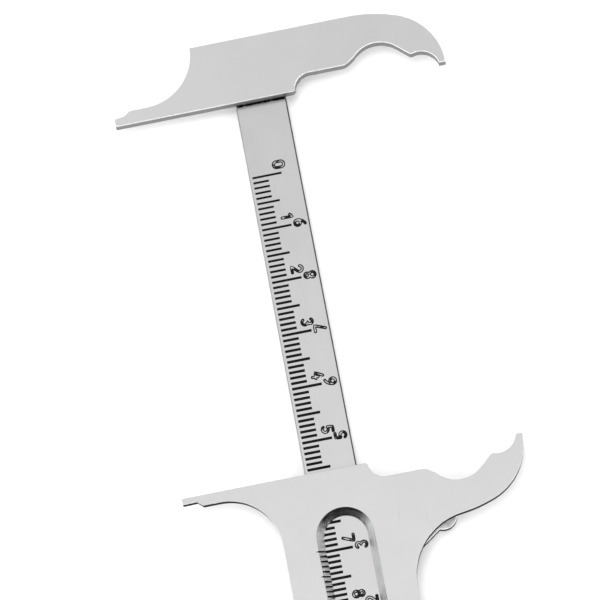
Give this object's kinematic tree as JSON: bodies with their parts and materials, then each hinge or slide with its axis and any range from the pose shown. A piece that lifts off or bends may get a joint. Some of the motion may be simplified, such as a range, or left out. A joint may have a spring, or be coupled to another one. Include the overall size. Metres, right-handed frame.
{
  "type": "boley gauge",
  "caption": "Flat steel sliding caliper with a pointed and a hooked jaw on each plate, a millimetre beam scale, a bevelled vernier window and a sprung thumb lever.",
  "frame": {"origin": "on the fixed jaw's measuring face, at the middle of its thickness, on the beam's centre line", "axes": "+Y along the beam towards the fixed jaw's top edge, +Z out of the graduated front, +X towards the hooked jaws"},
  "size_m": [0.0617, 0.1536, 0.0062],
  "materials": {
    "beam_steel": "satin, black-filled marks",
    "jaw_steel": "satin",
    "slider_steel": "satin, black-filled vernier lines",
    "plain_steel": "satin",
    "lever_steel": "finely roughened",
    "screw_steel": "turned",
    "spring_steel": "blued grey"
  },
  "bodies": {
    "beam": {"scale_beam": "beam_steel", "fixed_jaw": "jaw_steel", "jaw_screws": "screw_steel", "jaw_dowels": "screw_steel", "tail_stop_screw": "screw_steel"},
    "slider": {"slider_plate": "slider_steel", "back_plate": "plain_steel", "left_rail": "plain_steel", "upper_right_rail": "plain_steel", "lower_right_rail": "plain_steel", "plate_screws": "screw_steel", "gib_spring": "spring_steel", "lever_pivot_screw": "screw_steel", "lever_spring": "spring_steel"},
    "lever": {"thumb_lever": "lever_steel"}
  },
  "joints": [
    {"name": "slider_travel", "type": "slide", "parent": "beam", "child": "slider", "axis": [0, 1, 0], "range_m": [-0.03, 0.07]},
    {"name": "lever_pivot", "type": "hinge", "parent": "slider", "child": "lever", "pos_m": [0.0077, -0.08882, -0.0025], "axis": [0, 0, 1], "range_deg": [0, 8], "stiffness_Nm_per_rad": 0.04, "springref_deg": -17.19, "deforming": ["lever_spring"]}
  ]
}
